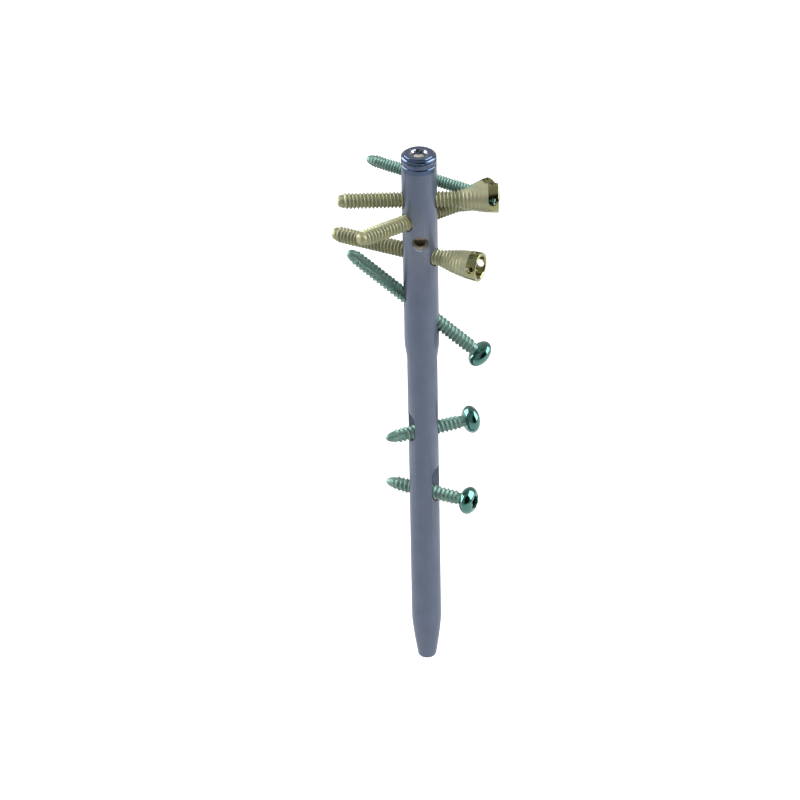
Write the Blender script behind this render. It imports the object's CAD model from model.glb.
"""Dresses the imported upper-arm nail: fine threads, polished heads and anodised metal."""
import functools
import math

import bmesh
import bpy
from bpy.props import FloatProperty, FloatVectorProperty, PointerProperty
from mathutils import Matrix, Vector


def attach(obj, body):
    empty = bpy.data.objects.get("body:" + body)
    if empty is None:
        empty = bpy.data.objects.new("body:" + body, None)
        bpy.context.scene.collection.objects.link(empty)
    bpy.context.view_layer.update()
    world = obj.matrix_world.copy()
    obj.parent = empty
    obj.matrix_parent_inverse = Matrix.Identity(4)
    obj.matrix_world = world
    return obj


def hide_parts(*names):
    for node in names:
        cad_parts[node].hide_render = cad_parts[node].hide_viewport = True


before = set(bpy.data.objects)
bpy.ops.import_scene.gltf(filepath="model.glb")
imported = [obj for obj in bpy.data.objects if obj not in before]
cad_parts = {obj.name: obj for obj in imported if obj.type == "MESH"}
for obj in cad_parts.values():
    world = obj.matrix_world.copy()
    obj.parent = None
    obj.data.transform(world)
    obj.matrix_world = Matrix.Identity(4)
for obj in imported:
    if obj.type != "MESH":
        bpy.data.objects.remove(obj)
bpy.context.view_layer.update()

bl_info = {
    "name": "Locked Upper Arm Nail",
    "version": (1, 0, 0),
    "blender": (4, 5, 0),
    "location": "View3D > Sidebar > Arm Nail",
    "description": "Builds a cannulated nail with its end cap and locking screws",
    "category": "Object",
}

MM = 0.001
# Points nearer than this become one, in mm
MERGE = 0.0005
# Box of the solids alone
# Facets around the nail, a screw, one turn of thread, a hole and a driver recess
ROUND_STEPS = 96
HEAD_STEPS = 72
THREAD_STEPS = 36
HOLE_STEPS = 48
LOBE_STEPS = 96
# Edges that bend by more than this many degrees stay sharp
SHARP_ANGLE = 32.0

# Where each screw crosses the nail: depth below the top, turn about the nail, fall
# toward the head, and reach from the nail's axis to the head's face, in mm and degrees
CUP_SCREW_PLACES = {
    "lateral_screw": (12.5, 0.0, 0.0, 21.0),
    "anterolateral_screw": (28.95, -26.2, 0.75, 17.75),
    "posterolateral_screw": (18.0, 35.0, 0.0, 23.75),
}
DOME_SCREW_PLACES = {
    "calcar_screw": (46.1, 0.0, 43.1, 23.4),
    "upper_distal_screw": (84.9, 21.0, 0.0, 16.0),
    "lower_distal_screw": (104.5, -26.0, 0.0, 15.4),
}
# How far a slot rises above its screw, in mm
SLOT_RISES = {"upper_distal_screw": 4.2, "lower_distal_screw": 6.4}
# Turn of a screw about its own axis, in degrees
SCREW_ROLLS = {"calcar_screw": 60.0, "upper_distal_screw": 60.0}

# Empty hole in the front of the nail, placed as above, and its radius in mm
FRONT_HOLE = (23.6, -90.0, 0.0, 0.0)
FRONT_HOLE_RADIUS = 2.3
# Reach of a cross hole's cutter to each side, in mm
HOLE_REACH = 9.5
# Length of the tip's rounded end in mm, and rings and curve of the taper above it
TIP_END = 0.6
TIP_RINGS = 13
TIP_POWER = 1.33
# Depths of the polymer inlay's ends, in mm
INLAY_TOP = 7.2
INLAY_BOTTOM = 53.0

# End cap in mm: its stem, the rounds of its rim, and the small step up to its face
STEM_LENGTH = 5.8
RIM_LOWER_ROUND = 0.30
RIM_UPPER_ROUND = 0.60
RIM_UPPER_BEND = 70.0
RIM_SHOULDER = 0.34
FACE_STEP = 0.15

# Driver recesses: reach of their lobes and depth, in mm
CAP_RECESS = (2.1, 1.38)
CUP_RECESS = (2.2, 2.3)
DOME_RECESS = (2.1, 2.0)
SMALL_RECESS = (1.65, 1.4)
# Countersink of the cap's recess: radius at the face, depth, and how much it narrows, in mm
CAP_COUNTERSINK = (2.27, 0.5, 0.45)

# Length of a screw's rounded tip in mm, and the share of the root left at its end
BULLET_TIP = (2.2, 0.32)
POINTED_TIP = (3.3, 0.12)
# Blunt tip in mm: how much slimmer than the root, how far up, and the corner's round
BLUNT_TIP = ((0.9, 0.0, 0.15), (0.28, 0.3, 0.12), (0.0, 0.95, 0.15))
# A cutting flute's run from the tip, its cutter's radius and its depth in the core, in mm
SHORT_FLUTE = (5.5, 1.2, 0.28)
LONG_FLUTE = (22.0, 1.6, 0.22)
# Depth below the head's face at which the threads end, in mm
CUP_THREAD_TOP = 2.9
DOME_THREAD_TOP = 4.0
SMALL_THREAD_TOP = 2.9
# Turn of the secondary screw's flutes, in degrees
SMALL_FLUTE_TURN = 66.0

# Cup head in mm: its inner radius at the mouth, below it and at the floor, and its depth
CUP_MOUTH = 3.30
CUP_WALL = 3.10
CUP_FOOT = 2.90
CUP_DEPTH = 2.4
# Curve of the flare; its thread's least height, and start, span and curve of its growth
FLARE_POWER = 1.95
FADE_LEAST = 0.10
FADE_START = 0.38
FADE_SPAN = 0.60
FADE_POWER = 1.6
# Turn of the suture holes about the screw, in degrees
SUTURE_TURN = -12.0
# Side bore: its pivot's depth, its turn and tilt, how far out its seat lies, and its length
SIDE_BORE_DEPTH = 1.3
SIDE_BORE_TURN = -68.2
SIDE_BORE_TILT = -23.5
SIDE_BORE_SEAT = 0.95
SIDE_BORE_LENGTH = 16.0

# Head of the secondary screw in mm: depth of its neck, then radius, depth and corner's round
SMALL_NECK = 3.1
SMALL_HEAD = ((1.75, 2.6, 0.2), (2.45, 0.3, 0.10), (2.15, 0.0, 0.10))

# Domed head in mm: depth of its widest ring, height and curve of its underside, height of
# the full crown, the bend in radians where the flat face cuts it, and the face's radius
DOME_LEVEL = 2.0
DOME_UNDERSIDE = 1.95
DOME_UNDERSIDE_POWER = 1.25
DOME_CROWN = 2.506
DOME_FACE_BEND = 0.647
DOME_FACE_RADIUS = 2.28

# A hole's wall starts this far below the surface, in mm, and lower by this much at the tip
HOLE_SKIN = 0.20
TIP_SKIN = 2.1
# Refraction of the clear oxide film on a polished face
OXIDE_FILM = 1.65
# Height of every surface's fine relief, in m
RELIEF = 0.00001
# Colour of bare metal on a worn edge, and of the film rubbed pale on a crest
WORN_METAL = (0.62, 0.60, 0.56, 1.0)
RUBBED_FILM = (0.70, 0.76, 0.66, 1.0)

# Lamps: bearing and rise in degrees, size in m, power in W, and if reflections show them
LAMPS = {
    "left_softbox": (161.0, 17.0, (0.80, 0.75), 9.4, True),
    "right_softbox": (0.0, 31.0, (0.85, 0.95), 12.4, True),
    "front_fill": (-90.0, 70.0, (0.6, 0.6), 6.0, False),
}
LAMP_DISTANCE = 0.9
LAMP_TARGET = (0.0, 0.0, -0.07)
# Bearing and rise of the studio's dark side, and its tones from opposite, 0, to there, 1
DARK_SIDE = (-72.0, 24.0)
ROOM_TONES = (
    (0.0, (0.52, 0.52, 0.53, 1.0)),
    (0.50, (0.44, 0.44, 0.44, 1.0)),
    (0.85, (0.38, 0.38, 0.38, 1.0)),
    (0.945, (0.02, 0.02, 0.022, 1.0)),
)
# Height and half width of the floor, in m
FLOOR_LEVEL = -0.20
FLOOR_HALF = 6.0
# Camera of the photograph: rise and roll in degrees, target and distance in mm, and lens
CAMERA_RISE = 31.82
CAMERA_ROLL = -1.187
CAMERA_TARGET = (-6.277, 0.0, -75.05)
CAMERA_DISTANCE = 1122.3
CAMERA_LENS = 184.5


# Sizes and colours that a user may change

def length(name, description, default):
    """A length given in millimetres and kept in metres."""
    return FloatProperty(
        name=name,
        description=description,
        default=default * MM,
        min=0.0,
        precision=6,
        unit="LENGTH",
        subtype="DISTANCE",
    )


def colour(name, description, default):
    return FloatVectorProperty(
        name=name,
        description=description,
        default=default,
        min=0.0,
        max=1.0,
        subtype="COLOR",
    )


class NailSizes(bpy.types.PropertyGroup):
    """Sizes of the nail, its inlay and its end cap."""

    length: length("Length", "Overall length of the nail", 160.0)
    upper_radius: length("Upper radius", "Radius of the wide upper shaft", 4.75)
    lower_radius: length("Lower radius", "Radius of the slim lower shaft", 4.15)
    step_top: length("Step top", "Depth at which the shaft starts to narrow", 56.7)
    step_bottom: length("Step bottom", "Depth at which the shaft is slim", 61.1)
    tip_length: length("Tip length", "Length of the rounded taper at the tip", 13.5)
    tip_drop: length("Tip drop", "How much the radius shrinks toward the tip", 1.65)
    groove_depth: length("Groove depth", "Depth of the ring groove below the cap", 0.14)
    groove_below: length("Groove place", "Depth of the ring groove's middle", 1.4)
    bore_radius: length("Upper bore radius", "Radius of the wide upper bore", 3.55)
    bore_length: length("Upper bore length", "Length of the wide upper bore", 54.0)
    cannula_radius: length("Cannula radius", "Radius of the wire channel", 1.7)
    cap_thickness: length("Cap thickness", "Thickness of the end cap's flange", 1.2)


class ScrewSizes(bpy.types.PropertyGroup):
    """Sizes of the three kinds of screws."""

    lateral_length: length("Lateral screw length", "Length of the straight 4.5 mm screw", 42.8)
    slanted_length: length("Slanted screw length", "Length of the other 4.5 mm screws", 43.8)
    cup_crest: length("Cup screw crest", "Radius over the thread of the 4.5 mm screws", 2.25)
    cup_root: length("Cup screw root", "Radius under the thread of the 4.5 mm screws", 1.75)
    cup_pitch: length("Cup screw pitch", "Thread pitch of the 4.5 mm screws", 1.0)
    cup_head_radius: length("Cup head radius", "Radius of the cup head's rim", 4.02)
    flare_length: length("Flare length", "Length of the cup head's flare", 11.5)
    suture_radius: length("Suture hole radius", "Radius of the holes in the cup's wall", 1.1)
    suture_depth: length("Suture hole depth", "Depth of those holes below the face", 1.6)
    small_length: length("Secondary screw length", "Length of the 3.5 mm screw", 37.5)
    small_crest: length("Secondary screw crest", "Radius over the 3.5 mm thread", 1.75)
    small_root: length("Secondary screw root", "Radius under the 3.5 mm thread", 1.38)
    small_pitch: length("Secondary screw pitch", "Thread pitch of the 3.5 mm screw", 0.8)
    dome_crest: length("Dome screw crest", "Radius over the 4.0 mm thread", 2.0)
    dome_root: length("Dome screw root", "Radius under the 4.0 mm thread", 1.55)
    dome_pitch: length("Dome screw pitch", "Thread pitch of the 4.0 mm screws", 1.25)
    dome_head_radius: length("Dome head radius", "Radius of the domed head", 3.9)
    calcar_length: length("Calcar screw length", "Length of the oblique screw", 49.9)
    distal_length: length("Distal screw length", "Length of the two lower screws", 27.1)
    clearance: length("Clearance", "Gap between a screw and its hole", 0.3)


class FinishColours(bpy.types.PropertyGroup):
    """Anodised and polymer colours."""

    nail: colour("Nail", "Slate blue anodised nail", (0.127, 0.157, 0.217))
    cap: colour("End cap", "Dark blue anodised cap", (0.045, 0.092, 0.205))
    bare: colour("Bare metal", "Bare titanium inside the cap's recess", (0.520, 0.460, 0.400))
    gold: colour("Gold screws", "Olive gold anodised screws", (0.290, 0.296, 0.166))
    teal: colour("Teal screws", "Teal anodised screws", (0.106, 0.240, 0.214))
    inlay: colour("Inlay", "Beige implant polymer", (0.600, 0.520, 0.380))
    floor: colour("Floor", "Pale floor and backdrop", (1.0, 1.0, 1.0))


# Mesh helpers. Shapes are modelled in millimetres, and finish_piece brings them to metres.

def start_profile(shape, profile):
    """Wire of (radius, height, corner round) points in the XZ plane."""
    points = [shape.verts.new((radius, 0.0, height)) for radius, height, _ in profile]
    edges = [shape.edges.new(pair) for pair in zip(points, points[1:])]
    if profile[0][0] > 0.0:
        edges.append(shape.edges.new((points[-1], points[0])))
    for point, (_, _, corner) in zip(points, profile):
        if corner > 0.0:
            bmesh.ops.bevel(
                shape,
                geom=[point],
                offset=corner,
                offset_type="OFFSET",
                segments=4,
                profile=0.5,
                affect="VERTICES",
                material=-1,
            )


def turned(profile, steps):
    """Turn a profile about Z. Profile ends on the axis become closed poles."""
    shape = bmesh.new()
    start_profile(shape, profile)
    bmesh.ops.spin(
        shape,
        geom=shape.verts[:] + shape.edges[:],
        cent=(0.0, 0.0, 0.0),
        axis=(0.0, 0.0, 1.0),
        angle=math.tau,
        steps=steps,
        use_merge=True,
    )
    bmesh.ops.remove_doubles(shape, verts=shape.verts[:], dist=MERGE)
    bmesh.ops.recalc_face_normals(shape, faces=shape.faces[:])
    return shape


def extruded(outline, levels):
    """Extrude an outline of (x, y) through (height, scale) levels."""
    shape = bmesh.new()
    height, scale = levels[0]
    points = [shape.verts.new((x * scale, y * scale, height)) for x, y in outline]
    bottom = shape.faces.new(points)
    end = bottom
    for next_height, next_scale in levels[1:]:
        grown = bmesh.ops.extrude_face_region(shape, geom=[end])["geom"]
        if end != bottom:
            bmesh.ops.delete(shape, geom=[end], context="FACES_ONLY")
        end = next(item for item in grown if isinstance(item, bmesh.types.BMFace))
        ring = [item for item in grown if isinstance(item, bmesh.types.BMVert)]
        factor = next_scale / scale
        bmesh.ops.scale(shape, verts=ring, vec=(factor, factor, 1.0))
        bmesh.ops.translate(shape, verts=ring, vec=(0.0, 0.0, next_height - height))
        height, scale = next_height, next_scale
    bmesh.ops.recalc_face_normals(shape, faces=shape.faces[:])
    return shape


def six_lobe_outline(radius):
    lobes = 6
    swing = 0.14
    points = []
    for index in range(LOBE_STEPS):
        angle = math.tau * (index + 0.5) / LOBE_STEPS
        reach = radius * (1.0 - swing + swing * math.cos(lobes * angle))
        points.append((reach * math.cos(angle), reach * math.sin(angle)))
    return points


def slot_outline(radius, rise, centre=(0.0, 0.0)):
    """Outline of a round hole, or of a slot that rises along X."""
    points = []
    for index in range(HOLE_STEPS):
        angle = math.tau * (index + 0.5) / HOLE_STEPS
        across = radius * math.cos(angle)
        if across > 0.0:
            across += rise
        points.append((centre[0] + across, centre[1] + radius * math.sin(angle)))
    return points


def add_object(name, shape):
    mesh = bpy.data.meshes.new(name)
    shape.to_mesh(mesh)
    shape.free()
    thing = bpy.data.objects.new(name, mesh)
    bpy.context.scene.collection.objects.link(thing)
    return thing


def cut(body, tools):
    """Cut each tool out of the body and keep the result as its mesh."""
    for tool in tools:
        modifier = body.modifiers.new(tool.name, "BOOLEAN")
        modifier.operation = "DIFFERENCE"
        modifier.solver = "MANIFOLD"
        modifier.object = tool
    evaluated = body.evaluated_get(bpy.context.evaluated_depsgraph_get())
    result = bpy.data.meshes.new_from_object(evaluated)
    body.modifiers.clear()
    body.data = result


def twin_of(master, name):
    """Another object with its own copy of a mesh."""
    twin = bpy.data.objects.new(name, master.data.copy())
    bpy.context.scene.collection.objects.link(twin)
    return twin


def remove_objects(things):
    for thing in things:
        bpy.data.objects.remove(thing, do_unlink=True)


def keep_own_place(mesh):
    """Keep each point's place in the piece's own frame, for patterns that follow it."""
    place = mesh.attributes.new("own_place", "FLOAT_VECTOR", "POINT")
    for point, kept in zip(mesh.vertices, place.data):
        kept.vector = point.co


def finish_piece(thing, node, frame_matrix, material):
    """Shade a piece, set it in its place and let it stand for its node."""
    mesh = thing.data
    keep_own_place(mesh)
    mesh.transform(Matrix.Scale(MM, 4) @ frame_matrix)
    mesh.materials.clear()
    mesh.materials.append(material)
    mesh.shade_smooth()
    mesh.set_sharp_from_angle(angle=math.radians(SHARP_ANGLE))
    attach(thing, "root")
    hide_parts(node)


# Places

def screw_frame(depth, turn, fall, reach):
    """Frame of a screw: origin on its head's face, +Z out of the head, +X up."""
    down = Matrix.Translation((0.0, 0.0, -depth))
    about = Matrix.Rotation(math.radians(turn), 4, "Z")
    tilt = Matrix.Rotation(math.radians(90.0 + fall), 4, "Y")
    half_turn = Matrix.Rotation(math.pi, 4, "Z")
    out = Matrix.Translation((0.0, 0.0, reach))
    return down @ about @ tilt @ half_turn @ out


def side_bore_frame():
    """Frame of the small screw in a cup head, +Z pointing back out of the side bore."""
    down = Matrix.Translation((0.0, 0.0, -SIDE_BORE_DEPTH))
    turn = Matrix.Rotation(math.radians(SIDE_BORE_TURN), 4, "Z")
    tilt = Matrix.Rotation(math.radians(SIDE_BORE_TILT), 4, "Y")
    out = Matrix.Translation((0.0, 0.0, SIDE_BORE_SEAT))
    return down @ turn @ tilt @ out


# Nail

def nail_profile(sizes):
    """Half-section of the nail from its mouth down to the tip and back up the bore, in mm.

    The rings that lie a little off an edge keep the edge's wear narrow.
    """
    upper = sizes.upper_radius / MM
    lower = sizes.lower_radius / MM
    bore = sizes.bore_radius / MM
    bore_end = sizes.bore_length / MM
    cannula = sizes.cannula_radius / MM
    full = sizes.length / MM
    groove = sizes.groove_below / MM
    groove_root = upper - sizes.groove_depth / MM
    step_top = sizes.step_top / MM
    step_bottom = sizes.step_bottom / MM
    tip = sizes.tip_length / MM
    chamfer = 0.2
    profile = [
        (bore + chamfer, 0.0, 0.05),
        (upper, 0.0, 0.06),
        (upper, -groove + 0.18, 0.05),
        (groove_root, -groove + 0.08, 0.04),
        (groove_root, -groove, 0.04),
        (upper, -groove - 0.20, 0.05),
        (upper, -groove - 0.70, 0.0),
        (upper, -groove - 4.00, 0.0),
        (upper, -step_top + 3.0, 0.0),
        (upper, -step_top, 0.8),
        (lower, -step_bottom, 0.8),
        (lower, -step_bottom - 3.0, 0.0),
        (lower, -full + tip, 0.0),
    ]
    for ring in range(1, TIP_RINGS + 1):
        along = (tip - TIP_END) * ring / TIP_RINGS
        drop = sizes.tip_drop / MM * (along / tip) ** TIP_POWER
        profile.append((lower - drop, -full + tip - along, 0.0))
    end_radius = profile[-1][0]
    profile += [
        (end_radius - 0.08, -full + 0.28, 0.0),
        (end_radius - 0.26, -full + 0.08, 0.0),
        (end_radius - 0.46, -full, 0.0),
        (cannula + 0.06, -full, 0.04),
        (cannula, -full + 0.1, 0.0),
        (cannula, -bore_end - bore + cannula, 0.0),
        (bore, -bore_end, 0.0),
        (bore, -chamfer, 0.0),
    ]
    return profile


def hole_cutters(sizes, with_slots):
    """Cutters for the cross holes, and for the slots of the lower nail."""
    cup_radius = (sizes.cup_crest + sizes.clearance) / MM
    dome_radius = (sizes.dome_crest + sizes.clearance) / MM
    plan = [(name, place, cup_radius, 0.0) for name, place in CUP_SCREW_PLACES.items()]
    plan.append(("front", FRONT_HOLE, FRONT_HOLE_RADIUS, 0.0))
    for name, place in DOME_SCREW_PLACES.items():
        rise = SLOT_RISES.get(name, 0.0)
        if with_slots or rise == 0.0:
            plan.append((name, place, dome_radius, rise))
    levels = [(-HOLE_REACH, 1.0), (HOLE_REACH, 1.0)]
    tools = []
    for name, place, radius, rise in plan:
        tool = add_object(name + "_hole", extruded(slot_outline(radius, rise), levels))
        tool.matrix_world = screw_frame(*place[:3], 0.0)
        tools.append(tool)
    return tools


class NAIL_OT_build_shaft(bpy.types.Operator):
    """Build the nail with its stepped shaft, cross holes, slots and tapered tip"""

    bl_idname = "arm_nail.build_shaft"
    bl_label = "Build Nail"

    def execute(self, context):
        sizes = context.scene.nail_sizes
        screws = context.scene.screw_sizes
        thing = add_object("nail_shaft", turned(nail_profile(sizes), ROUND_STEPS))
        tools = hole_cutters(screws, True)
        cut(thing, tools)
        remove_objects(tools)
        material = nail_metal(context.scene.finish_colours.nail, sizes)
        finish_piece(thing, "nail", Matrix.Identity(4), material)
        return {"FINISHED"}


class NAIL_OT_build_inlay(bpy.types.Operator):
    """Build the polymer sleeve inside the upper nail"""

    bl_idname = "arm_nail.build_inlay"
    bl_label = "Build Locking Inlay"

    def execute(self, context):
        sizes = context.scene.nail_sizes
        screws = context.scene.screw_sizes
        outer = (sizes.bore_radius - screws.clearance) / MM
        inner = sizes.cannula_radius / MM
        profile = [
            (inner, -INLAY_BOTTOM, 0.2),
            (outer, -INLAY_BOTTOM, 0.3),
            (outer, -INLAY_TOP, 0.3),
            (inner, -INLAY_TOP, 0.4),
        ]
        thing = add_object("inlay_sleeve", turned(profile, HEAD_STEPS))
        tools = hole_cutters(screws, False)
        cut(thing, tools)
        remove_objects(tools)
        material = implant_polymer(context.scene.finish_colours.inlay)
        finish_piece(thing, "locking_inlay", Matrix.Identity(4), material)
        return {"FINISHED"}


def rounded_rim(flange, under, top):
    """Rim of the cap: rounded below and above, a shallow cone and a step to the face, in mm."""
    middle = under + RIM_LOWER_ROUND
    climb = top - RIM_SHOULDER - middle
    last_bend = math.radians(RIM_UPPER_BEND)
    points = []
    for step in range(7):
        bend = math.pi / 2 * step / 7
        points.append((
            flange - RIM_LOWER_ROUND * (1.0 - math.sin(bend)),
            middle - RIM_LOWER_ROUND * math.cos(bend),
            0.0,
        ))
    for step in range(11):
        bend = last_bend * step / 10
        points.append((
            flange - RIM_UPPER_ROUND * (1.0 - math.cos(bend)),
            middle + climb * math.sin(bend) / math.sin(last_bend),
            0.0,
        ))
    points += [
        (flange - 0.76, top - FACE_STEP, 0.03),
        (flange - 0.86, top, 0.04),
    ]
    return points


class NAIL_OT_build_cap(bpy.types.Operator):
    """Build the end cap with its rounded flange and six-lobe recess"""

    bl_idname = "arm_nail.build_cap"
    bl_label = "Build End Cap"

    def execute(self, context):
        sizes = context.scene.nail_sizes
        screws = context.scene.screw_sizes
        flange = sizes.upper_radius / MM
        under = screws.clearance / MM
        top = under + sizes.cap_thickness / MM
        stem = (sizes.bore_radius - screws.clearance) / MM
        profile = [
            (0.0, -STEM_LENGTH, 0.0),
            (stem - 0.35, -STEM_LENGTH, 0.05),
            (stem, -STEM_LENGTH + 0.4, 0.05),
            (stem, under, 0.08),
        ]
        profile += rounded_rim(flange, under, top)
        profile += [(flange - 1.05, top, 0.0), (2.5, top, 0.0), (0.0, top, 0.0)]
        thing = add_object("cap_turned", turned(profile, ROUND_STEPS))
        tools = [recess_cutter(CAP_RECESS, top), countersink_cutter(CAP_COUNTERSINK, top)]
        cut(thing, tools)
        remove_objects(tools)
        colours = context.scene.finish_colours
        material = cap_metal(colours.cap, colours.bare)
        finish_piece(thing, "end_cap", Matrix.Identity(4), material)
        return {"FINISHED"}


# Screws

def thread_ridge(start, end, crest, root, pitch, core=None):
    """Helical ridge that runs out at both ends and follows the core's radius, in mm."""
    shape = bmesh.new()
    tooth = crest - root
    # Upper half of the tooth's section: rise above the root, and share of the pitch
    half = [
        (tooth, 0.045),
        (tooth - 0.04, 0.11),
        (0.45 * tooth, 0.24),
        (0.05, 0.41),
        (-0.10, 0.44),
    ]
    outline = [(rise, -along) for rise, along in reversed(half)] + half
    corners = []
    for rise, along in outline:
        corners.append(shape.verts.new((root + rise, 0.0, start + along * pitch)))
    edges = [shape.edges.new(pair) for pair in zip(corners, corners[1:] + corners[:1])]
    bmesh.ops.spin(
        shape,
        geom=corners + edges,
        cent=(0.0, 0.0, 0.0),
        axis=(0.0, 0.0, 1.0),
        dvec=(0.0, 0.0, pitch / THREAD_STEPS),
        angle=math.tau,
        steps=THREAD_STEPS,
        use_merge=False,
    )
    one_turn = shape.verts[:] + shape.edges[:] + shape.faces[:]
    turns = int((end - start) / pitch)
    for turn in range(1, turns):
        twin = bmesh.ops.duplicate(shape, geom=one_turn)["geom"]
        points = [item for item in twin if isinstance(item, bmesh.types.BMVert)]
        bmesh.ops.translate(shape, verts=points, vec=(0.0, 0.0, turn * pitch))
    bmesh.ops.remove_doubles(shape, verts=shape.verts[:], dist=MERGE)
    open_edges = [edge for edge in shape.edges if edge.is_boundary]
    bmesh.ops.holes_fill(shape, edges=open_edges, sides=0)
    for point in shape.verts:
        shape_thread(point, start, turns, root, pitch, core)
    bmesh.ops.recalc_face_normals(shape, faces=shape.faces[:])
    return shape


def shape_thread(point, start, turns, root, pitch, core):
    """Set a ridge point on its core, and sink the first and last turn into it."""
    angle = math.atan2(point.co.y, point.co.x) % math.tau / math.tau
    height = point.co.z
    whole = round((height - start) / pitch - angle)
    along = whole + angle
    ramp = max(0.0, min(1.0, along + 0.1, turns - along + 0.1))
    radius = math.hypot(point.co.x, point.co.y)
    base, fade = core(height) if core else (root, 1.0)
    rise = radius - root
    if rise > 0.0:
        rise *= fade
    wanted = base - 0.12 + (rise + 0.12) * ramp
    point.co.x *= wanted / radius
    point.co.y *= wanted / radius


def rounded_tip(length, root, tip):
    """Bullet or pointed end of a screw, as profile points from the pole upward."""
    tip_length, end_share = tip
    points = [(0.0, -length, 0.0), (0.8 * end_share * root, -length, 0.0)]
    for step in range(1, 13):
        share = step / 12
        radius = root * math.sqrt(1.0 - (1.0 - end_share ** 2) * (1.0 - share) ** 2)
        points.append((radius, -length + tip_length * share, 0.0))
    return points


def flute_cutters(length, root, turn, flutes):
    """Cutters for a screw's cutting flutes, evenly spaced about its axis."""
    tools = []
    for index, (run, radius, depth) in enumerate(flutes):
        reach = root - depth + radius
        angle = turn + math.tau * index / len(flutes)
        centre = (reach * math.cos(angle), reach * math.sin(angle))
        levels = [(-length - 0.3, 1.0), (run - length, 1.0)]
        tools.append(add_object("flute", extruded(slot_outline(radius, 0.0, centre), levels)))
    return tools


def countersink_cutter(countersink, top):
    """Round countersink around a driver recess."""
    radius, depth, narrowing = countersink
    slope = narrowing / depth
    profile = [
        (0.0, top - depth, 0.0),
        (radius - narrowing, top - depth, 0.0),
        (radius + 0.1 * slope, top + 0.1, 0.0),
        (0.0, top + 0.1, 0.0),
    ]
    return add_object("countersink", turned(profile, HOLE_STEPS))


def recess_cutter(recess, top):
    """Six-lobe driver recess with a slightly flared mouth and a cone at its floor."""
    radius, depth = recess
    levels = [
        (top - depth - 0.15 * radius, 0.35),
        (top - depth, 1.0),
        (top - 0.12, 1.0),
        (top + 0.02, 1.04),
        (top + 1.0, 1.04),
    ]
    return add_object("recess", extruded(six_lobe_outline(radius), levels))


def side_bore_cutter(sizes):
    """Bore through a cup head's flank, with a tapered seat for the secondary head."""
    throat = (sizes.small_crest + sizes.clearance) / MM
    mouth = max(SMALL_HEAD)[0] + sizes.clearance / MM
    profile = [
        (0.0, -SIDE_BORE_LENGTH, 0.0),
        (throat, -SIDE_BORE_LENGTH, 0.0),
        (throat, -2.9, 0.1),
        (mouth, 0.0, 0.0),
        (mouth, 0.6, 0.0),
        (0.0, 0.6, 0.0),
    ]
    tool = add_object("side_bore", turned(profile, HOLE_STEPS))
    tool.matrix_world = side_bore_frame()
    return tool


def suture_cutters(sizes):
    """Two crossing cutters for the four thread holes in the wall of the cup."""
    outline = slot_outline(sizes.suture_radius / MM, 0.0)
    down = Matrix.Translation((0.0, 0.0, -sizes.suture_depth / MM))
    tools = []
    for index in range(2):
        tool = add_object("suture_hole", extruded(outline, [(-6.0, 1.0), (6.0, 1.0)]))
        turn = Matrix.Rotation(math.radians(SUTURE_TURN) + index * math.pi / 2, 4, "Z")
        tool.matrix_world = down @ turn @ Matrix.Rotation(math.pi / 2, 4, "Y")
        tools.append(tool)
    return tools


def assemble_screw(name, profile, ridge_shape, through, recess):
    """Turn a screw's core, cut it and its thread, and join both. The recess spares the thread."""
    core = add_object(name + "_core", turned(profile, HEAD_STEPS))
    ridge = add_object(name + "_thread", ridge_shape)
    cut(core, through + [recess])
    cut(ridge, through)
    shape = bmesh.new()
    shape.from_mesh(core.data)
    shape.from_mesh(ridge.data)
    remove_objects(through + [recess, core, ridge])
    return add_object(name + "_screw", shape)


def cup_flare(sizes, height):
    """Radius of the cup head's flare at a height, and how tall its fading thread is."""
    share = min(1.0, max(0.0, -height * MM / sizes.flare_length))
    root = sizes.cup_root / MM
    rim = sizes.cup_head_radius / MM
    radius = rim - (rim - root) * share ** FLARE_POWER
    grown = min(1.0, max(0.0, (share - FADE_START) / FADE_SPAN))
    fade = FADE_LEAST + (1.0 - FADE_LEAST) * grown ** FADE_POWER
    return radius, fade


def make_cup_screw(sizes, length):
    """Blunt screw with a threaded flare and a cup head, in mm, its face at height 0."""
    root = sizes.cup_root / MM
    rim = sizes.cup_head_radius / MM
    neck = sizes.flare_length / MM
    profile = [(0.0, -length, 0.0)]
    for slimmer, up, corner in BLUNT_TIP:
        profile.append((root - slimmer, -length + up, corner))
    profile.append((root, -neck - 0.1, 0.0))
    for step in range(24):
        height = -neck + (neck - 0.28) * step / 23
        profile.append((cup_flare(sizes, height)[0], height, 0.0))
    profile += [
        (rim - 0.02, -0.12, 0.0),
        (rim - 0.10, -0.03, 0.0),
        (rim - 0.22, 0.0, 0.0),
        (CUP_MOUTH, 0.0, 0.08),
        (CUP_WALL, -0.25, 0.10),
        (CUP_FOOT, -CUP_DEPTH, 0.25),
        (0.0, -CUP_DEPTH, 0.0),
    ]
    crest = sizes.cup_crest / MM
    pitch = sizes.cup_pitch / MM
    core = functools.partial(cup_flare, sizes)
    ridge = thread_ridge(-length + 1.1, -CUP_THREAD_TOP, crest, root, pitch, core)
    through = suture_cutters(sizes) + [side_bore_cutter(sizes)]
    return assemble_screw("cup", profile, ridge, through, recess_cutter(CUP_RECESS, -CUP_DEPTH))


def dome_underside(sizes):
    """Rounded underside of a domed head, from the neck out to the rim, in mm."""
    rim = sizes.dome_head_radius / MM
    neck = 1.1 * sizes.dome_root / MM
    points = []
    for step in range(1, 13):
        bend = math.pi / 2 * (1.0 - step / 13)
        radius = neck + (rim - neck) * math.cos(bend)
        fall = DOME_UNDERSIDE * math.sin(bend) ** DOME_UNDERSIDE_POWER
        points.append((radius, -DOME_LEVEL - fall, 0.0))
    return points


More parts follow.
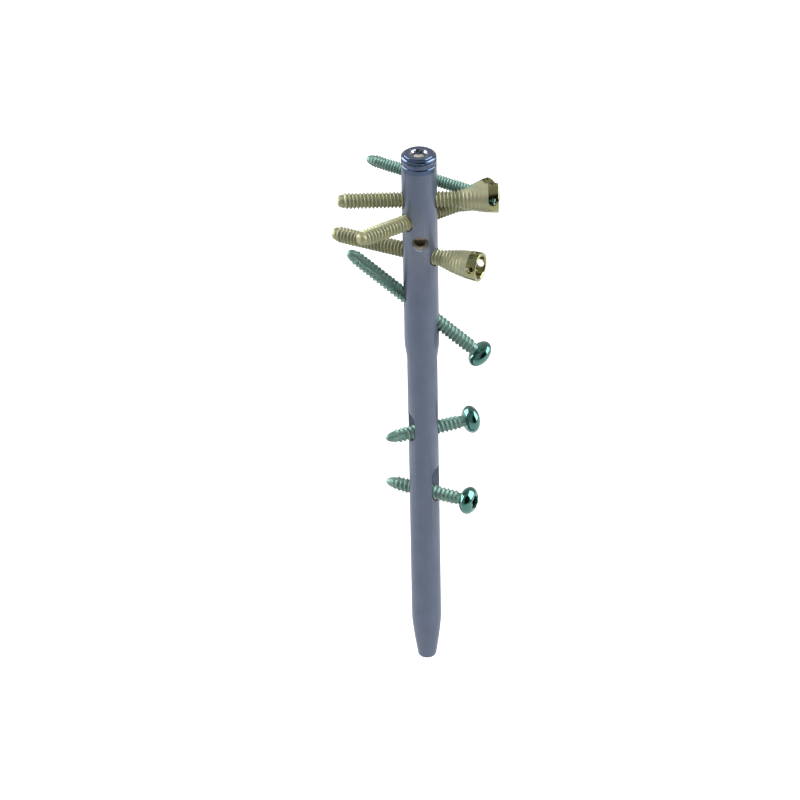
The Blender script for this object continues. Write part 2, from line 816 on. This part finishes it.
def make_dome_screw(sizes, length, tip, first_flute):
    """Fluted screw with a domed head, in mm, its face at height 0."""
    root = sizes.dome_root / MM
    rim = sizes.dome_head_radius / MM
    profile = rounded_tip(length, root, tip)
    profile += [(root, -4.25, 0.0), (root + 0.12, -3.97, 0.0)]
    profile += dome_underside(sizes)
    for step in range(13):
        bend = math.pi / 2 - (math.pi / 2 - DOME_FACE_BEND) * step / 12
        height = -DOME_LEVEL + DOME_CROWN * math.cos(bend)
        profile.append((rim * math.sin(bend), height, 0.0))
    profile += [(DOME_FACE_RADIUS, 0.0, 0.0), (0.0, 0.0, 0.0)]
    crest = sizes.dome_crest / MM
    pitch = sizes.dome_pitch / MM
    ridge = thread_ridge(-length + 0.75 * tip[0], -DOME_THREAD_TOP, crest, root, pitch)
    flutes = flute_cutters(length, root, 0.0, (first_flute, SHORT_FLUTE, SHORT_FLUTE))
    return assemble_screw("dome", profile, ridge, flutes, recess_cutter(DOME_RECESS, 0.0))


def make_small_screw(sizes):
    """Fluted screw with a conical head, in mm, its face at height 0."""
    length = sizes.small_length / MM
    root = sizes.small_root / MM
    profile = rounded_tip(length, root, BULLET_TIP)
    profile.append((root, -SMALL_NECK, 0.2))
    for radius, depth, corner in SMALL_HEAD:
        profile.append((radius, -depth, corner))
    profile.append((0.0, 0.0, 0.0))
    crest = sizes.small_crest / MM
    pitch = sizes.small_pitch / MM
    ridge = thread_ridge(-length + 1.6, -SMALL_THREAD_TOP, crest, root, pitch)
    flutes = flute_cutters(length, root, math.radians(SMALL_FLUTE_TURN), 3 * (SHORT_FLUTE,))
    return assemble_screw("small", profile, ridge, flutes, recess_cutter(SMALL_RECESS, 0.0))


class NAIL_OT_build_cup_screws(bpy.types.Operator):
    """Build the three 4.5 mm screws with cup heads"""

    bl_idname = "arm_nail.build_cup_screws"
    bl_label = "Build Cup Screws"

    def execute(self, context):
        sizes = context.scene.screw_sizes
        material = gold_screw_metal(context.scene.finish_colours.gold, sizes)
        lateral = make_cup_screw(sizes, sizes.lateral_length / MM)
        slanted = make_cup_screw(sizes, sizes.slanted_length / MM)
        for node, place in CUP_SCREW_PLACES.items():
            master = lateral if node == "lateral_screw" else slanted
            thing = twin_of(master, node + "_fine")
            finish_piece(thing, node, screw_frame(*place), material)
        remove_objects([lateral, slanted])
        return {"FINISHED"}


class NAIL_OT_build_secondary_screw(bpy.types.Operator):
    """Build the 3.5 mm screw that is locked in the lateral screw's head"""

    bl_idname = "arm_nail.build_secondary_screw"
    bl_label = "Build Secondary Screw"

    def execute(self, context):
        sizes = context.scene.screw_sizes
        colour = context.scene.finish_colours.teal
        material = teal_screw_metal("teal_small_anodised", colour, sizes.small_crest, -1.5)
        thing = make_small_screw(sizes)
        place = screw_frame(*CUP_SCREW_PLACES["lateral_screw"]) @ side_bore_frame()
        finish_piece(thing, "secondary_screw", place, material)
        return {"FINISHED"}


class NAIL_OT_build_dome_screws(bpy.types.Operator):
    """Build the oblique screw and the two lower screws with domed heads"""

    bl_idname = "arm_nail.build_dome_screws"
    bl_label = "Build Dome Screws"

    def execute(self, context):
        sizes = context.scene.screw_sizes
        colour = context.scene.finish_colours.teal
        material = teal_screw_metal("teal_dome_anodised", colour, sizes.dome_crest, -4.1)
        calcar = make_dome_screw(sizes, sizes.calcar_length / MM, BULLET_TIP, LONG_FLUTE)
        distal = make_dome_screw(sizes, sizes.distal_length / MM, POINTED_TIP, SHORT_FLUTE)
        for node, place in DOME_SCREW_PLACES.items():
            master = calcar if node == "calcar_screw" else distal
            thing = twin_of(master, node + "_fine")
            roll = Matrix.Rotation(math.radians(SCREW_ROLLS.get(node, 0.0)), 4, "Z")
            finish_piece(thing, node, screw_frame(*place) @ roll, material)
        remove_objects([calcar, distal])
        return {"FINISHED"}


# Materials

class Wiring:
    """Adds and links the nodes of one tree."""

    def __init__(self, owner):
        owner.use_nodes = True
        self.tree = owner.node_tree

    def add(self, kind, **settings):
        node = self.tree.nodes.new(kind)
        for key, value in settings.items():
            setattr(node, key, value)
        return node

    def feed(self, socket, value):
        if isinstance(value, bpy.types.NodeSocket):
            self.tree.links.new(value, socket)
        else:
            socket.default_value = value

    def maths(self, operation, first, second=0.0, third=0.0):
        node = self.add("ShaderNodeMath", operation=operation)
        for socket, value in zip(node.inputs, (first, second, third)):
            self.feed(socket, value)
        return node.outputs[0]

    def noise(self, vector, scale, detail):
        node = self.add("ShaderNodeTexNoise")
        self.feed(node.inputs["Vector"], vector)
        node.inputs["Scale"].default_value = scale
        node.inputs["Detail"].default_value = detail
        node.inputs["Roughness"].default_value = 0.55
        return node.outputs["Fac"]

    def lines(self, place, scale, detail):
        """Noise that changes only along one value, for turning marks."""
        node = self.add("ShaderNodeTexNoise", noise_dimensions="1D")
        self.feed(node.inputs["W"], place)
        node.inputs["Scale"].default_value = scale
        node.inputs["Detail"].default_value = detail
        return node.outputs["Fac"]

    def remap(self, value, low, high, to_low, to_high):
        node = self.add("ShaderNodeMapRange", clamp=True)
        names = ("Value", "From Min", "From Max", "To Min", "To Max")
        for name, setting in zip(names, (value, low, high, to_low, to_high)):
            self.feed(node.inputs[name], setting)
        return node.outputs["Result"]

    def mix(self, amount, first, second):
        """Mix two colours. Their sockets follow those for numbers and vectors."""
        node = self.add("ShaderNodeMix", data_type="RGBA")
        self.feed(node.inputs[0], amount)
        self.feed(node.inputs[6], first)
        self.feed(node.inputs[7], second)
        return node.outputs[2]


def four(colour, factor=1.0):
    return (*(min(1.0, part * factor) for part in colour), 1.0)


class PieceWiring(Wiring):
    """Wiring of one piece, with sockets that follow its own place in mm."""

    def __init__(self, name):
        self.material = bpy.data.materials.new(name)
        super().__init__(self.material)
        self.surface = self.tree.nodes["Principled BSDF"].inputs
        self.place = self.add("ShaderNodeAttribute", attribute_name="own_place").outputs["Vector"]
        split = self.add("ShaderNodeSeparateXYZ")
        self.feed(split.inputs[0], self.place)
        across = self.maths("MULTIPLY", split.outputs[0], split.outputs[0])
        beside = self.maths("MULTIPLY", split.outputs[1], split.outputs[1])
        self.radius = self.maths("SQRT", self.maths("ADD", across, beside))
        self.height = split.outputs[2]
        self.fine = self.noise(self.place, 2.6, 3.0)
        self.lathe = self.lines(self.maths("ADD", self.height, self.radius), 7.0, 2.0)

    def between(self, value, low, high):
        """0 below low, 1 above high, in millimetres."""
        return self.remap(value, low, high, 0.0, 1.0)

    def film(self, colour, shift):
        """Uneven anodised film with faint turning marks."""
        cloud = self.noise(self.place, 0.23, 4.0)
        wave = self.remap(cloud, 0.35, 0.65, 0.0, 1.0)
        base = self.mix(wave, four(colour, 0.95), four(shift, 1.03))
        streak = self.remap(self.lathe, 0.3, 0.7, 0.0, 0.18)
        return self.mix(streak, base, four(colour, 1.5))

    def bump(self, height, strength):
        node = self.add("ShaderNodeBump")
        self.feed(node.inputs["Height"], height)
        node.inputs["Strength"].default_value = strength
        node.inputs["Distance"].default_value = RELIEF
        self.feed(self.surface["Normal"], node.outputs["Normal"])

    def finish(self, base, rough, metallic, marks, coat=0.0):
        """Wear the sharp edges, break up the roughness and add fine turning marks."""
        geometry = self.add("ShaderNodeNewGeometry")
        edge = self.remap(geometry.outputs["Pointiness"], 0.54, 0.64, 0.0, 1.0)
        worn = self.maths("MULTIPLY", edge, self.remap(self.fine, 0.35, 0.6, 0.10, 0.60))
        shine = self.mix(worn, base, WORN_METAL)
        self.feed(self.surface["Base Color"], shine)
        grain = self.remap(self.fine, 0.3, 0.7, 0.88, 1.12)
        streaks = self.remap(self.lathe, 0.3, 0.7, 0.92, 1.08)
        broken = self.maths("MULTIPLY", self.maths("MULTIPLY", rough, grain), streaks)
        self.feed(self.surface["Roughness"], broken)
        self.feed(self.surface["Metallic"], metallic)
        self.feed(self.surface["Coat Weight"], coat)
        height = self.maths("ADD", self.lathe, self.maths("MULTIPLY", self.fine, 0.6))
        self.bump(height, marks)
        return self.material


def tint(colour, red, green, blue):
    return (colour[0] * red, colour[1] * green, colour[2] * blue)


def nail_metal(colour, sizes):
    """Satin slate blue, with a polished collar at the top and paler, matt walls in its holes."""
    metal = PieceWiring("nail_anodised")
    base = metal.film(colour, tint(colour, 1.05, 1.01, 1.04))
    collar = metal.between(metal.height, -3.3, -2.7)
    base = metal.mix(collar, base, metal.film(tint(colour, 0.58, 0.70, 0.85), colour))
    rough = metal.remap(collar, 0.0, 1.0, 0.36, 0.16)
    metallic = metal.remap(collar, 0.0, 1.0, 0.70, 0.95)
    lower = sizes.lower_radius / MM - HOLE_SKIN
    upper = sizes.upper_radius / MM - HOLE_SKIN
    step = (-sizes.step_bottom / MM, -sizes.step_top / MM)
    tip = (-sizes.length / MM, (sizes.tip_length - sizes.length) / MM)
    shaft = metal.remap(metal.height, *step, lower, upper)
    skin = metal.maths("SUBTRACT", shaft, metal.remap(metal.height, *tip, TIP_SKIN, 0.0))
    hollow = metal.between(metal.maths("SUBTRACT", skin, metal.radius), -0.05, 0.05)
    base = metal.mix(hollow, base, four(colour, 1.7))
    metallic = metal.maths("MULTIPLY", metallic, metal.remap(hollow, 0.0, 1.0, 1.0, 0.05))
    return metal.finish(base, rough, metallic, 0.25)


def cap_metal(colour, bare):
    """Polished dark blue, with bare metal on the floor of the recess."""
    metal = PieceWiring("cap_anodised")
    base = metal.film(colour, tint(colour, 1.0, 1.08, 1.0))
    mouth = CAP_RECESS[0]
    inner = metal.maths("SUBTRACT", 1.0, metal.between(metal.radius, mouth - 0.05, mouth))
    low = metal.maths("SUBTRACT", 1.0, metal.between(metal.height, 0.14, 0.20))
    floor = metal.maths("MULTIPLY", inner, low)
    rough = metal.remap(floor, 0.0, 1.0, 0.06, 0.55)
    metallic = metal.remap(floor, 0.0, 1.0, 1.0, 0.1)
    coat = metal.remap(floor, 0.0, 1.0, 1.0, 0.0)
    metal.surface["Coat IOR"].default_value = OXIDE_FILM
    return metal.finish(metal.mix(floor, base, four(bare)), rough, metallic, 0.06, coat)


def screw_metal(metal, colour, shift, deep, polished, crest):
    """Pale satin shank with rubbed thread crests, and a polished head of a deeper colour."""
    base = metal.film(colour, shift)
    rubbed = metal.remap(metal.radius, crest - 0.14, crest, 0.08, 0.18)
    satin = metal.mix(rubbed, base, RUBBED_FILM)
    base = metal.mix(polished, satin, metal.film(deep, tint(deep, 1.05, 1.0, 0.95)))
    rough = metal.remap(polished, 0.0, 1.0, 0.46, 0.07)
    metallic = metal.remap(polished, 0.0, 1.0, 0.62, 1.0)
    metal.surface["Coat IOR"].default_value = OXIDE_FILM
    return metal.finish(base, rough, metallic, 0.12, polished)


def gold_screw_metal(colour, sizes):
    """Olive gold; the last of the flare and the inside of the cup are polished."""
    metal = PieceWiring("gold_anodised")
    rim = metal.between(metal.height, -2.9, -2.6)
    wall = metal.between(metal.radius, CUP_WALL, CUP_WALL + 0.1)
    inside = metal.maths("SUBTRACT", 1.0, wall)
    cup = metal.maths("MULTIPLY", inside, metal.between(metal.height, -5.2, -4.8))
    polished = metal.maths("MAXIMUM", rim, cup)
    shift = tint(colour, 1.12, 1.05, 0.88)
    deep = tint(colour, 0.92, 0.92, 0.56)
    return screw_metal(metal, colour, shift, deep, polished, sizes.cup_crest / MM)


def teal_screw_metal(name, colour, crest, polished_from):
    """Teal, polished above one height of the head."""
    metal = PieceWiring(name)
    polished = metal.between(metal.height, polished_from, polished_from + 0.2)
    shift = tint(colour, 1.15, 1.04, 0.92)
    deep = tint(colour, 0.385, 0.84, 0.775)
    return screw_metal(metal, colour, shift, deep, polished, crest / MM)


def implant_polymer(colour):
    """Matt polymer with faint flow clouds and fine grain."""
    wiring = PieceWiring("implant_polymer")
    place = wiring.place
    cloud = wiring.noise(place, 0.3, 4.0)
    grain = wiring.noise(place, 6.0, 2.0)
    wave = wiring.remap(cloud, 0.35, 0.65, 0.0, 1.0)
    tone = wiring.mix(wave, four(colour, 0.92), four(colour, 1.06))
    wiring.feed(wiring.surface["Base Color"], tone)
    wiring.feed(wiring.surface["Roughness"], wiring.remap(grain, 0.3, 0.7, 0.45, 0.58))
    wiring.bump(grain, 0.2)
    return wiring.material


# Stage

def floor_material(colour):
    """White to the camera, pale in reflections, and matt, so that it takes a soft shadow."""
    material = bpy.data.materials.new("pale_floor")
    wiring = Wiring(material)
    path = wiring.add("ShaderNodeLightPath").outputs
    mirrored = wiring.maths("MULTIPLY", path["Is Glossy Ray"], 0.08)
    strength = wiring.maths("MULTIPLY_ADD", path["Is Camera Ray"], 0.72, mirrored)
    glow = wiring.add("ShaderNodeEmission")
    glow.inputs["Color"].default_value = four(colour)
    wiring.feed(glow.inputs["Strength"], strength)
    matt = wiring.add("ShaderNodeBsdfDiffuse")
    matt.inputs["Color"].default_value = four(colour, 0.5)
    both = wiring.add("ShaderNodeAddShader")
    wiring.feed(both.inputs[0], glow.outputs[0])
    wiring.feed(both.inputs[1], matt.outputs[0])
    wiring.feed(wiring.tree.nodes["Material Output"].inputs["Surface"], both.outputs[0])
    return material


def aim(bearing, rise):
    """Direction of a bearing about Z and a rise above the floor, both in degrees."""
    turn = Matrix.Rotation(math.radians(bearing), 3, "Z")
    return turn @ Matrix.Rotation(math.radians(-rise), 3, "Y") @ Vector((1.0, 0.0, 0.0))


def set_world():
    """White to the camera; to all else a studio with one dark side and a paler back."""
    world = bpy.data.worlds.new("studio")
    bpy.context.scene.world = world
    wiring = Wiring(world)
    wiring.tree.nodes.clear()
    toward = wiring.add("ShaderNodeVectorMath", operation="DOT_PRODUCT")
    wiring.feed(toward.inputs[0], wiring.add("ShaderNodeTexCoord").outputs["Generated"])
    wiring.feed(toward.inputs[1], aim(*DARK_SIDE))
    ramp = wiring.add("ShaderNodeValToRGB")
    tones = ramp.color_ramp.elements
    tones.remove(tones[1])
    tones[0].position, tones[0].color = ROOM_TONES[0]
    for position, tone in ROOM_TONES[1:]:
        tones.new(position).color = tone
    wiring.feed(ramp.inputs["Fac"], wiring.remap(toward.outputs["Value"], -1.0, 1.0, 0.0, 1.0))
    room = wiring.add("ShaderNodeBackground")
    wiring.feed(room.inputs["Color"], ramp.outputs["Color"])
    seen = wiring.add("ShaderNodeBackground")
    wiring.feed(seen.inputs["Color"], (1.0, 1.0, 1.0, 1.0))
    path = wiring.add("ShaderNodeLightPath")
    mix = wiring.add("ShaderNodeMixShader")
    parts = (path.outputs["Is Camera Ray"], room.outputs[0], seen.outputs[0])
    for socket, value in zip(mix.inputs, parts):
        wiring.feed(socket, value)
    wiring.feed(wiring.add("ShaderNodeOutputWorld").inputs["Surface"], mix.outputs[0])


def add_lamp(name, bearing, rise, size, watts, mirrored):
    """Soft lamp aimed at the part from a bearing and a rise in degrees."""
    away = aim(bearing, rise)
    lamp = bpy.data.lights.new(name, "AREA")
    lamp.shape = "RECTANGLE"
    lamp.size, lamp.size_y = size
    lamp.energy = watts
    thing = bpy.data.objects.new(name, lamp)
    bpy.context.scene.collection.objects.link(thing)
    thing.location = Vector(LAMP_TARGET) + LAMP_DISTANCE * away
    thing.rotation_euler = (-away).to_track_quat("-Z", "Y").to_euler()
    thing.visible_glossy = mirrored


def add_camera():
    """Camera at the photograph's height, distance and slight roll."""
    data = bpy.data.cameras.new("camera")
    data.lens = CAMERA_LENS
    camera = bpy.data.objects.new("camera", data)
    bpy.context.scene.collection.objects.link(camera)
    target = Matrix.Translation(Vector(CAMERA_TARGET) * MM)
    tilt = Matrix.Rotation(math.radians(90.0 - CAMERA_RISE), 4, "X")
    roll = Matrix.Rotation(math.radians(CAMERA_ROLL), 4, "Z")
    back = Matrix.Translation((0.0, 0.0, CAMERA_DISTANCE * MM))
    camera.matrix_world = target @ tilt @ roll @ back
    bpy.context.scene.camera = camera


class NAIL_OT_build_stage(bpy.types.Operator):
    """Build the pale floor, the studio light and the camera"""

    bl_idname = "arm_nail.build_stage"
    bl_label = "Build Stage"

    def execute(self, context):
        shape = bmesh.new()
        bmesh.ops.create_grid(shape, x_segments=1, y_segments=1, size=FLOOR_HALF)
        floor = add_object("floor", shape)
        floor.location.z = FLOOR_LEVEL
        floor.data.materials.append(floor_material(context.scene.finish_colours.floor))
        set_world()
        for name, settings in LAMPS.items():
            add_lamp(name, *settings)
        add_camera()
        context.scene.view_settings.view_transform = "Standard"
        return {"FINISHED"}


class NAIL_PT_panel(bpy.types.Panel):
    """Lists the steps that build the nail and its screws"""

    bl_label = "Arm Nail"
    bl_space_type = "VIEW_3D"
    bl_region_type = "UI"
    bl_category = "Arm Nail"

    def draw(self, context):
        layout = self.layout
        for operator in BUILD_ORDER:
            layout.operator(operator.bl_idname)
        for group in ("nail_sizes", "screw_sizes", "finish_colours"):
            box = layout.box()
            settings = getattr(context.scene, group)
            for name in settings.__annotations__:
                box.prop(settings, name)


BUILD_ORDER = (
    NAIL_OT_build_shaft,
    NAIL_OT_build_inlay,
    NAIL_OT_build_cap,
    NAIL_OT_build_cup_screws,
    NAIL_OT_build_secondary_screw,
    NAIL_OT_build_dome_screws,
    NAIL_OT_build_stage,
)
CLASSES = (NailSizes, ScrewSizes, FinishColours) + BUILD_ORDER + (NAIL_PT_panel,)


def register():
    for one in CLASSES:
        bpy.utils.register_class(one)
    bpy.types.Scene.nail_sizes = PointerProperty(type=NailSizes)
    bpy.types.Scene.screw_sizes = PointerProperty(type=ScrewSizes)
    bpy.types.Scene.finish_colours = PointerProperty(type=FinishColours)


def unregister():
    del bpy.types.Scene.finish_colours
    del bpy.types.Scene.screw_sizes
    del bpy.types.Scene.nail_sizes
    for one in reversed(CLASSES):
        bpy.utils.unregister_class(one)


def main():
    register()
    bpy.ops.arm_nail.build_shaft()
    bpy.ops.arm_nail.build_inlay()
    bpy.ops.arm_nail.build_cap()
    bpy.ops.arm_nail.build_cup_screws()
    bpy.ops.arm_nail.build_secondary_screw()
    bpy.ops.arm_nail.build_dome_screws()
    bpy.ops.arm_nail.build_stage()


if __name__ == "__main__":
    main()
